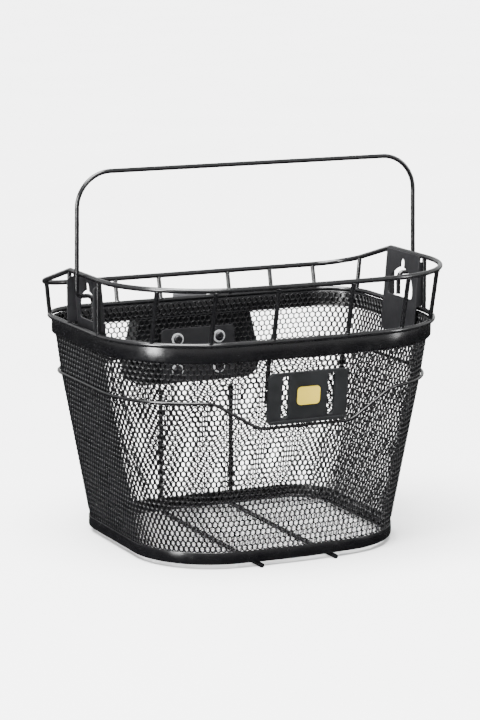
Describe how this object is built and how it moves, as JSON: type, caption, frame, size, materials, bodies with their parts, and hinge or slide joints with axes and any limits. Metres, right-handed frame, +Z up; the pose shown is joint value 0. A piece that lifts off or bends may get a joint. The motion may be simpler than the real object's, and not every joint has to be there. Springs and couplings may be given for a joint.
{
  "type": "handlebar basket",
  "caption": "Bicycle handlebar basket of expanded metal on a wire frame, with a folding carrying handle, a lamp plate and a quick-release adapter.",
  "frame": {"origin": "on the surface the basket stands on, below the middle of its bounding box, with the handle upright", "axes": "+X to the right-hand side seen from the front, -Y to the front, +Y to the handlebar, +Z up"},
  "size_m": [0.3726, 0.302, 0.3802],
  "materials": {
    "wire_coat": "satin black powder coat",
    "mesh_coat": "satin black powder coat on expanded metal",
    "band_coat": "smooth black powder coat",
    "plate_coat": "satin black powder coat",
    "black_plastic": "fine-grained black moulding",
    "grey_plastic": "fine-grained dark grey moulding",
    "badge_yellow": "plain yellow, smooth",
    "black_steel": "blackened steel screws",
    "zinc_steel": "zinc plated"
  },
  "bodies": {
    "basket": {"adapter_cover": "black_plastic", "adapter_cover_screws": "black_steel", "adapter_housing": "black_plastic", "base_band": "band_coat", "clamp_bolts": "black_steel", "clamp_nuts": "zinc_steel", "clamp_plate": "plate_coat", "clamp_washers": "zinc_steel", "floor_mesh": "mesh_coat", "front_badge": "badge_yellow", "front_corner_post_left": "wire_coat", "front_corner_post_right": "wire_coat", "front_plate": "black_plastic", "front_plate_pads": "plate_coat", "front_plate_screws": "zinc_steel", "front_post_1": "wire_coat", "front_post_2": "wire_coat", "front_post_3": "wire_coat", "front_post_4": "wire_coat", "latch_spring": "zinc_steel", "mid_wire": "wire_coat", "plate_stay_left": "wire_coat", "plate_stay_right": "wire_coat", "rear_corner_post_left": "wire_coat", "rear_corner_post_right": "wire_coat", "rear_post_1": "wire_coat", "rear_post_2": "wire_coat", "rear_post_3": "wire_coat", "rear_post_4": "wire_coat", "rear_post_5": "wire_coat", "rear_post_6": "wire_coat", "rim_band": "band_coat", "rim_wire": "wire_coat", "runner_wire_left": "wire_coat", "runner_wire_right": "wire_coat", "side_plate_left": "plate_coat", "side_plate_right": "plate_coat", "side_post_front_left": "wire_coat", "side_post_front_right": "wire_coat", "side_post_rear_left": "wire_coat", "side_post_rear_right": "wire_coat", "top_rail": "wire_coat", "wall_mesh": "mesh_coat"},
    "bail": {"bail_handle": "wire_coat"},
    "latch": {"latch_plate": "grey_plastic", "release_button": "grey_plastic"}
  },
  "joints": [
    {"name": "bail_hinge", "type": "hinge", "parent": "basket", "child": "bail", "pos_m": [0, -0.0015, 0.2585], "axis": [1, 0, 0], "range_deg": [-85, 76]},
    {"name": "latch_slide", "type": "slide", "parent": "basket", "child": "latch", "axis": [0, 0, -1], "range_m": [0, 0.005], "stiffness_N_per_m": 400, "springref_m": -0.006, "deforming": ["latch_spring"]}
  ]
}
